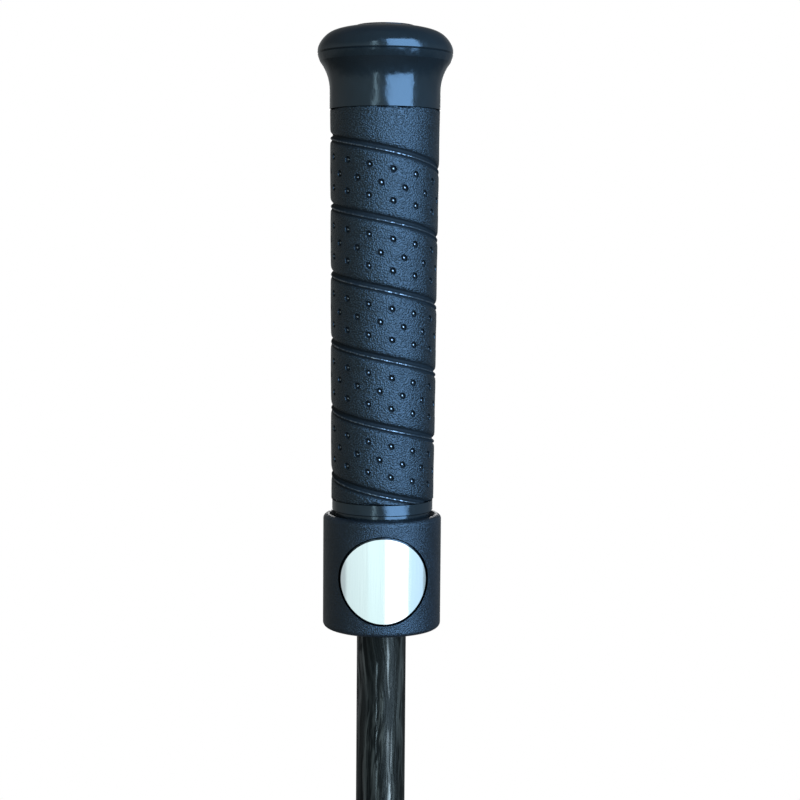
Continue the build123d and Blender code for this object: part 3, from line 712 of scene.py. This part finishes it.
def grip_rib():
    """The glossy stitched edge of the tape, which glints from stitch to stitch."""
    mat, tree, shader = new_material("grip_rib")
    place = coords(tree, (1, 1, 1))
    stitches = noise(tree, place, 1700.0, 2.0, 0.6)
    dark, light = (0.0010, 0.0012, 0.0013), (0.0120, 0.0145, 0.0155)
    tone = ramp(tree, stitches, [(0.4, dark), (0.65, light)])
    tree.links.new(tone, shader.inputs["Base Color"])
    tree.links.new(remap(tree, stitches, 0.42, 0.60, 0.65, 0.25), shader.inputs["Roughness"])
    shader.inputs["Specular IOR Level"].default_value = 0.3
    shader.inputs["Specular Tint"].default_value = PAINTED_COOL_TINT
    tree.links.new(remap(tree, stitches, 0.48, 0.56, 0.0, 1.0), shader.inputs["Coat Weight"])
    shader.inputs["Coat Roughness"].default_value = 0.16
    shader.inputs["Coat IOR"].default_value = 1.9
    bump(tree, shader, stitches, 0.00035, 1.0)
    return mat


def gloss_black():
    """Polished black plastic with a faint waviness and fine scuffs along it."""
    mat, tree, shader = new_material("gloss_black")
    place = coords(tree, (1, 1, 1))
    cloud = noise(tree, place, 90.0, 3.0)
    dark, light = (0.0040, 0.0050, 0.0052), (0.0062, 0.0076, 0.0080)
    tone = ramp(tree, cloud, [(0.3, dark), (0.8, light)])
    tree.links.new(tone, shader.inputs["Base Color"])
    scuffs = noise(tree, coords(tree, (1, 1, 0.25)), 700.0, 5.0, 0.7)
    tree.links.new(remap(tree, scuffs, 0.35, 0.8, 0.13, 0.28), shader.inputs["Roughness"])
    shader.inputs["Specular IOR Level"].default_value = 0.34
    shader.inputs["Specular Tint"].default_value = PAINTED_COOL_TINT
    waves = maths(tree, "MULTIPLY", noise(tree, place, 110.0, 2.0), 3.0)
    bump(tree, shader, maths(tree, "ADD", noise(tree, place, 260.0, 3.0), waves), 0.00011, 1.0)
    return mat


def matte_black():
    """Fine-grained moulded plastic."""
    mat, tree, shader = new_material("matte_black")
    place = coords(tree, (1, 1, 1))
    grain = remap(tree, cell_distance(tree, place, 2500.0), 0.1, 0.7, 1.0, 0.0)
    cloud = noise(tree, place, 120.0, 4.0)
    mixed = weighted(tree, cloud, 0.5, grain, 0.5)
    dark, light = (0.0022, 0.0028, 0.0032), (0.0085, 0.0105, 0.0125)
    tone = ramp(tree, mixed, [(0.25, dark), (0.8, light)])
    tree.links.new(tone, shader.inputs["Base Color"])
    tree.links.new(remap(tree, grain, 0.0, 1.0, 0.40, 0.19), shader.inputs["Roughness"])
    shader.inputs["Specular IOR Level"].default_value = 0.31
    shader.inputs["Specular Tint"].default_value = PAINTED_COOL_TINT
    bump(tree, shader, grain, 0.00011, 1.0)
    return mat


def carbon_shaft():
    """Glossy black tube, whose long wavy ridges along its fibres break its reflections into streaks."""
    mat, tree, shader = new_material("carbon_shaft")
    place = coords(tree, (1, 1, 1))
    slow = {"Vector": coords(tree, (60, 60, 34)), "Scale": 1.0, "Detail": 2.0}
    drift = node(tree, "TexNoise", None, slow).outputs["Color"]
    bend = {0: drift, 1: (0.006, 0.006, 0), 2: place}
    bent = node(tree, "VectorMath", {"operation": "MULTIPLY_ADD"}, bend).outputs[0]

    def along(across_scale, length_scale, detail):
        stretch = {"Vector": bent, "Scale": (across_scale, across_scale, length_scale)}
        return noise(tree, node(tree, "Mapping", None, stretch).outputs[0], 1.0, detail, 0.6)

    ridges, fibres, patches = along(620, 24, 2.0), along(2600, 110, 3.0), along(240, 16, 1.0)
    both = weighted(tree, ridges, 0.7, fibres, 0.3)
    streaks = remap(tree, both, 0.48, 0.57, 0.0, 1.0)
    bright = maths(tree, "MULTIPLY", streaks, remap(tree, patches, 0.44, 0.58, 0.15, 1.0))
    dark, light = (0.0012, 0.0013, 0.0012), (0.0110, 0.0122, 0.0115)
    tree.links.new(ramp(tree, bright, [(0.0, dark), (1.0, light)]), shader.inputs["Base Color"])
    tree.links.new(remap(tree, both, 0.3, 0.7, 0.46, 0.30), shader.inputs["Roughness"])
    shader.inputs["Specular IOR Level"].default_value = 0.12
    shader.inputs["Specular Tint"].default_value = PAINTED_COOL_TINT
    tree.links.new(bright, shader.inputs["Coat Weight"])
    shader.inputs["Coat Roughness"].default_value = 0.12
    shader.inputs["Coat IOR"].default_value = 1.75
    bump(tree, shader, both, 0.00036, 1.0)
    return mat


def disc_metal():
    """Mirror-bright metal, drawn finely along its height."""
    mat, tree, shader = new_material("disc_metal")
    lines = noise(tree, coords(tree, (5200, 5200, 60)), 1.0, 3.0, 0.6)
    dark, light = (0.86, 0.88, 0.89), (0.95, 0.96, 0.965)
    tone = ramp(tree, lines, [(0.3, dark), (0.7, light)])
    tree.links.new(tone, shader.inputs["Base Color"])
    shader.inputs["Metallic"].default_value = 1.0
    tree.links.new(remap(tree, lines, 0.3, 0.7, 0.10, 0.17), shader.inputs["Roughness"])
    bump(tree, shader, lines, 0.00001, 0.5)
    return mat


def plain_metal(name, dark, light, roughness):
    """A turned or ground metal with a fine grain."""
    mat, tree, shader = new_material(name)
    grain = noise(tree, coords(tree, (1500, 1500, 1500)), 1.0, 4.0, 0.6)
    tree.links.new(ramp(tree, grain, [(0.3, dark), (0.7, light)]), shader.inputs["Base Color"])
    shader.inputs["Metallic"].default_value = 1.0
    tree.links.new(remap(tree, grain, 0.3, 0.7, roughness, roughness + 0.14), shader.inputs["Roughness"])
    bump(tree, shader, grain, 0.00002, 0.5)
    return mat


def plain_plastic(name, dark, light, roughness, grain_scale):
    """A clouded material that is no metal, with a grain of so many features to a metre."""
    mat, tree, shader = new_material(name)
    grain = noise(tree, coords(tree, (1, 1, 1)), grain_scale, 4.0, 0.6)
    cloud = noise(tree, coords(tree, (1, 1, 1)), 90.0, 3.0)
    tree.links.new(ramp(tree, cloud, [(0.3, dark), (0.7, light)]), shader.inputs["Base Color"])
    tree.links.new(remap(tree, grain, 0.3, 0.7, roughness, roughness + 0.12), shader.inputs["Roughness"])
    bump(tree, shader, grain, 0.00004, 0.5)
    return mat


THREAD_PITCH = 0.0009
STEEP = 0.7  # the face lies across an axis when its normal's share of that axis is more than this


def pad_cloth():
    """Plain-weave nylon: threads across and along, taken on the two axes that the face lies in."""
    mat, tree, shader = new_material("pad_cloth")
    place = node(tree, "TexCoord")
    split = node(tree, "SeparateXYZ", None, {0: place.outputs["Object"]}).outputs
    normal = node(tree, "SeparateXYZ", None, {0: place.outputs["Normal"]}).outputs
    level = maths(tree, "GREATER_THAN", maths(tree, "ABSOLUTE", normal["Z"]), STEEP)
    endwise = maths(tree, "GREATER_THAN", maths(tree, "ABSOLUTE", normal["X"]), STEEP)
    across = node(tree, "Mix", None, {"Factor": endwise, "A": split["X"], "B": split["Y"]}).outputs[0]
    along = node(tree, "Mix", None, {"Factor": level, "A": split["Z"], "B": split["Y"]}).outputs[0]
    pitch = 2 * math.pi / THREAD_PITCH
    warp_thread = maths(tree, "SINE", maths(tree, "MULTIPLY", across, pitch))
    weft_thread = maths(tree, "SINE", maths(tree, "MULTIPLY", along, pitch))
    weave = remap(tree, maths(tree, "MULTIPLY", warp_thread, weft_thread), -1.0, 1.0, 0.0, 1.0)
    cloud = noise(tree, place.outputs["Object"], 45.0, 4.0)
    fuzz = noise(tree, place.outputs["Object"], 2500.0, 3.0)
    dark, light = (0.42, 0.245, 0.022), (0.70, 0.45, 0.055)
    tone = ramp(tree, weighted(tree, weave, 0.35, cloud, 0.65), [(0.25, dark), (0.75, light)])
    tree.links.new(tone, shader.inputs["Base Color"])
    shader.inputs["Roughness"].default_value = 0.72
    shader.inputs["Sheen Weight"].default_value = 0.25
    height = maths(tree, "ADD", weave, maths(tree, "MULTIPLY", fuzz, 0.3))
    bump(tree, shader, height, 0.00016, 0.8)
    return mat


MATERIALS = {
    "grip_tape": grip_tape(),
    "grip_groove_shade": grip_groove_shade(),
    "grip_rib": grip_rib(),
    "gloss_black": gloss_black(),
    "matte_black": matte_black(),
    "carbon_shaft": carbon_shaft(),
    "disc_metal": disc_metal(),
    "steel": plain_metal("steel", (0.48, 0.49, 0.50), (0.62, 0.63, 0.64), 0.26),
    "black_steel": plain_metal("black_steel", (0.02, 0.02, 0.022), (0.05, 0.05, 0.055), 0.35),
    "barrel_metal": plain_metal("barrel_metal", (0.22, 0.23, 0.25), (0.32, 0.33, 0.35), 0.33),
    "pad_cloth": pad_cloth(),
}
PLAIN = [  # name, dark and light of its clouds, roughness, and grains to a metre
    ("bearing_plastic", (0.60, 0.59, 0.54), (0.72, 0.70, 0.65), 0.35, 1400.0),
    ("fibreglass", (0.05, 0.06, 0.05), (0.10, 0.11, 0.10), 0.4, 1400.0),
    ("rubber", (0.008, 0.008, 0.009), (0.016, 0.016, 0.017), 0.6, 1400.0),
    ("board", (0.02, 0.02, 0.02), (0.04, 0.04, 0.04), 0.5, 1400.0),
    ("foam", (0.10, 0.10, 0.11), (0.18, 0.18, 0.19), 0.8, 900.0),
    ("hook_and_loop", (0.008, 0.008, 0.009), (0.02, 0.02, 0.02), 0.85, 1800.0),
    ("binding_tape", (0.30, 0.17, 0.012), (0.46, 0.27, 0.025), 0.7, 1100.0),
    ("thread", (0.62, 0.42, 0.06), (0.80, 0.58, 0.12), 0.55, 2600.0),
]
for plain in PLAIN:
    MATERIALS[plain[0]] = plain_plastic(*plain)


def paint_cad_nodes():
    """Gives each CAD node the material of its slot in the record."""
    slots = {entry["node"]: entry["material_slot"] for entry in frame["record"]["subparts"]}
    for name, obj in NODES.items():
        obj.data.materials.clear()
        obj.data.materials.append(MATERIALS[slots[name]])


# ---------------------------------------------------------------- camera, lights and floor
CAMERA_AZIMUTH = -2.5  # the camera stands this many degrees to the left of the button
CAMERA_RIGHT, CAMERA_AWAY, CAMERA_UP = 0.0051, 0.543, 0.1223  # in metres, from the collar's underside
CAMERA_DOWN, CAMERA_ROLL = 5.1, -0.45  # how far it looks down and is turned on its axis, in degrees
LENS, SENSOR_WIDTH = 76.05, 36.0


def add_camera():
    """The camera in front of the grip, and plain colours."""
    bpy.context.scene.view_settings.view_transform = "Standard"
    data = bpy.data.cameras.new("camera")
    data.lens = LENS
    data.sensor_width = SENSOR_WIDTH
    data.clip_start = 0.01
    camera = bpy.data.objects.new("camera", data)
    bpy.context.scene.collection.objects.link(camera)
    turn = math.radians(CAMERA_AZIMUTH)
    place = Vector((CAMERA_RIGHT, -CAMERA_AWAY, BASE + CAMERA_UP))
    camera.location = Matrix.Rotation(turn, 3, "Z") @ place
    camera.rotation_euler = (math.radians(90 - CAMERA_DOWN), math.radians(CAMERA_ROLL), turn)
    bpy.context.scene.camera = camera


def area_light(name, only, azimuth, distance, height, size, colour, power, target_z):
    """A soft box for only some pieces; azimuth 0 is on the camera's side, and positive to the right."""
    data = bpy.data.lights.new(name, "AREA")
    data.shape = "RECTANGLE"
    data.size, data.size_y = size
    data.color = colour
    data.energy = power
    light = bpy.data.objects.new(name, data)
    bpy.context.scene.collection.objects.link(light)
    turn = math.radians(azimuth + CAMERA_AZIMUTH)
    light.location = (distance * math.sin(turn), -distance * math.cos(turn), height)
    aim = Vector((0, 0, target_z)) - light.location
    light.rotation_euler = aim.to_track_quat("-Z", "Y").to_euler()
    light.light_linking.receiver_collection = only


ROOM = [  # azimuth round the object, 0 in front and positive to the right, and the room's colour there
    (-180, (0.28, 0.29, 0.29)),
    (-130, (0.25, 0.27, 0.28)),
    (-92, (0.48, 0.54, 0.56)),
    (-60, (0.56, 0.70, 0.73)),
    (-10, (0.62, 0.79, 0.81)),
    (60, (0.40, 0.56, 0.64)),
    (92, (0.34, 0.46, 0.54)),
    (130, (0.20, 0.24, 0.27)),
    (180, (0.28, 0.29, 0.29)),
]
ROOM_LEVELS = [  # from 0 straight down to 1 straight up, and how bright the room is there
    (0.0, 0.15),
    (0.30, 0.35),
    (0.42, 1.0),
    (0.56, 1.0),
    (0.72, 0.50),
    (1.0, 0.40),
]


def add_world():
    """White to the camera, and to all else a soft room that is palest in front, level with the object."""
    world = bpy.data.worlds.new("studio")
    bpy.context.scene.world = world
    world.use_nodes = True
    tree = world.node_tree
    background = tree.nodes["Background"]
    way = node(tree, "SeparateXYZ", None, {0: node(tree, "TexCoord").outputs["Generated"]})
    forward = maths(tree, "MULTIPLY", way.outputs["Y"], -1.0)
    turn = math.radians(CAMERA_AZIMUTH)
    azimuth = maths(tree, "SUBTRACT", maths(tree, "ARCTAN2", way.outputs["X"], forward), turn)
    around = remap(tree, azimuth, -math.pi, math.pi, 0.0, 1.0)
    room = ramp(tree, around, [((angle + 180) / 360, colour) for angle, colour in ROOM])
    height = remap(tree, way.outputs["Z"], -1.0, 1.0, 0.0, 1.0)
    both = {"Fac": 1.0, "Color1": room, "Color2": ramp(tree, height, ROOM_LEVELS)}
    shaded = node(tree, "MixRGB", {"blend_type": "MULTIPLY"}, both).outputs[0]
    seen = node(tree, "LightPath").outputs["Is Camera Ray"]
    tree.links.new(mixed_colour(tree, seen, shaded, (1, 1, 1, 1)), background.inputs["Color"])


FLOOR_R = 2.2
FLOOR_SIDES = 96
FLOOR_DROP = 0.0002  # under the pad
FADE_START, FADE_END = 0.5, 2.0  # distances over which the floor fades away


def add_floor():
    """A pale round floor that fades into the white room, and is darker in reflections."""
    angles = np.linspace(0, 2 * math.pi, FLOOR_SIDES, False)
    ring = [(FLOOR_R * math.cos(a), FLOOR_R * math.sin(a), -FLOOR_DROP) for a in angles]
    floor = piece("floor", ring, [range(FLOOR_SIDES)], smooth=False)
    mat, tree, shader = new_material("floor")
    seen = node(tree, "LightPath").outputs["Is Camera Ray"]
    tone = mixed_colour(tree, seen, (0.16, 0.17, 0.18, 1), (0.86, 0.86, 0.86, 1))
    tree.links.new(tone, shader.inputs["Base Color"])
    shader.inputs["Roughness"].default_value = 0.6
    place = node(tree, "TexCoord").outputs["Object"]
    distance = node(tree, "VectorMath", {"operation": "LENGTH"}, {0: place}).outputs["Value"]
    clear = node(tree, "BsdfTransparent").outputs[0]
    fade = remap(tree, distance, FADE_START, FADE_END, 0.0, 1.0)
    mixed = node(tree, "MixShader", None, {0: fade, 1: shader.outputs[0], 2: clear})
    tree.links.new(mixed.outputs[0], tree.nodes["Material Output"].inputs["Surface"])
    floor.data.materials.append(mat)


def top_of(obj):
    """The height of a mesh object's highest place."""
    return max(corner[2] for corner in obj.bound_box)


def light_group(name, wanted):
    """A collection of the mesh objects that a light is for."""
    group = bpy.data.collections.new(name)
    for obj in bpy.data.objects:
        if obj.type == "MESH" and wanted(obj):
            group.objects.link(obj)
    return group


LOWER_TOP = 0.2  # the head, its joint and the floor lie under this height
GRIP_Z = BASE + 0.12
DISC, TUBE = "button_plate", "shaft_tube"
LIGHTS = [  # name, group, azimuth, distance, height, size, colour, power, and the height aimed at
    ("window", "black", 33.5, 1.5, GRIP_Z + 0.45, (1.63, 2.3), (0.295, 0.568, 1.0), 205, GRIP_Z + 0.1),
    ("tube_window", "tube", 41, 1.5, GRIP_Z, (0.7, 2.6), (0.66, 0.86, 1.0), 92, GRIP_Z - 0.2),
    ("strip", "upper", -19, 1.5, GRIP_Z + 0.15, (0.16, 1.6), (0.60, 0.85, 1.0), 6, GRIP_Z),
    ("back", "black", 180, 2.0, 0.8, (0.45, 1.1), (1.0, 1.0, 1.0), 6, 0.8),
    ("overhead", "lower", 10, 0.9, 2.6, (1.6, 1.6), (1.0, 1.0, 1.0), 60, 0.3),
    ("low_front", "lower", -35, 2.0, 1.0, (1.2, 1.2), (1.0, 1.0, 1.0), 18, 0.05),
    ("low_back", "lower", 170, 2.0, 1.2, (1.2, 1.2), (1.0, 1.0, 1.0), 16, 0.05),
]
DISC_CARDS = [  # from one azimuth to another, and the light that the disc mirrors there
    (-72, -25, (0.24, 0.29, 0.28)),
    (-25, 8, (0.29, 0.38, 0.38)),
    (8, 52, (1.2, 1.2, 1.2)),
    (52, 88, (0.30, 0.45, 0.58)),
]
CARD_DISTANCE, CARD_HEIGHT = 1.5, 1.8


def add_disc_cards(height, disc):
    """Soft boxes side by side that only the disc mirrors."""
    for start, end, colour in DISC_CARDS:
        width = 2 * CARD_DISTANCE * math.tan(math.radians(end - start) / 2)
        power = math.pi * width * CARD_HEIGHT * max(colour)
        tint = [channel / max(colour) for channel in colour]
        size = (width, CARD_HEIGHT)
        area_light("card", disc, (start + end) / 2, CARD_DISTANCE, height, size, tint, power, height)


def add_lights():
    """The soft boxes, each for a group of pieces: the disc, the tube, the black parts or the head."""
    disc = light_group("disc", lambda obj: obj.name == DISC)
    tube = light_group("tube", lambda obj: obj.name == TUBE)
    upper = light_group("upper", lambda obj: top_of(obj) > LOWER_TOP and obj.name != DISC)
    black = light_group("black", lambda obj: obj.name in upper.objects and obj.name != TUBE)
    lower = light_group("lower", lambda obj: top_of(obj) <= LOWER_TOP)
    groups = {"tube": tube, "upper": upper, "black": black, "lower": lower}
    for name, group, *rest in LIGHTS:
        area_light(name, groups[group], *rest)
    add_disc_cards(BASE, disc)


# ---------------------------------------------------------------- assembly
def add_wrap():
    """The wound tape in its three materials."""
    skin, kinds = wrap_mesh()
    finish_piece(skin, "handle", MATERIALS[WRAP_MATERIALS[0]], ["grip_wrap"])
    for name in WRAP_MATERIALS[1:]:
        skin.data.materials.append(MATERIALS[name])
    skin.data.polygons.foreach_set("material_index", kinds)


def add_spring():
    """The lock's spring as a piece of its own, with a mesh of its own."""
    node_obj = NODES["yoke_spring"]
    bpy.context.view_layer.update()
    spring = bpy.data.objects.new("lock_spring", node_obj.data.copy())
    spring.matrix_world = node_obj.matrix_world
    bpy.context.scene.collection.objects.link(spring)
    finish_piece(spring, "handle", MATERIALS["steel"], ["yoke_spring"])
    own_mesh(spring)


paint_cad_nodes()
add_wrap()
add_spring()
add_pad()
add_camera()
add_world()
add_floor()
add_lights()
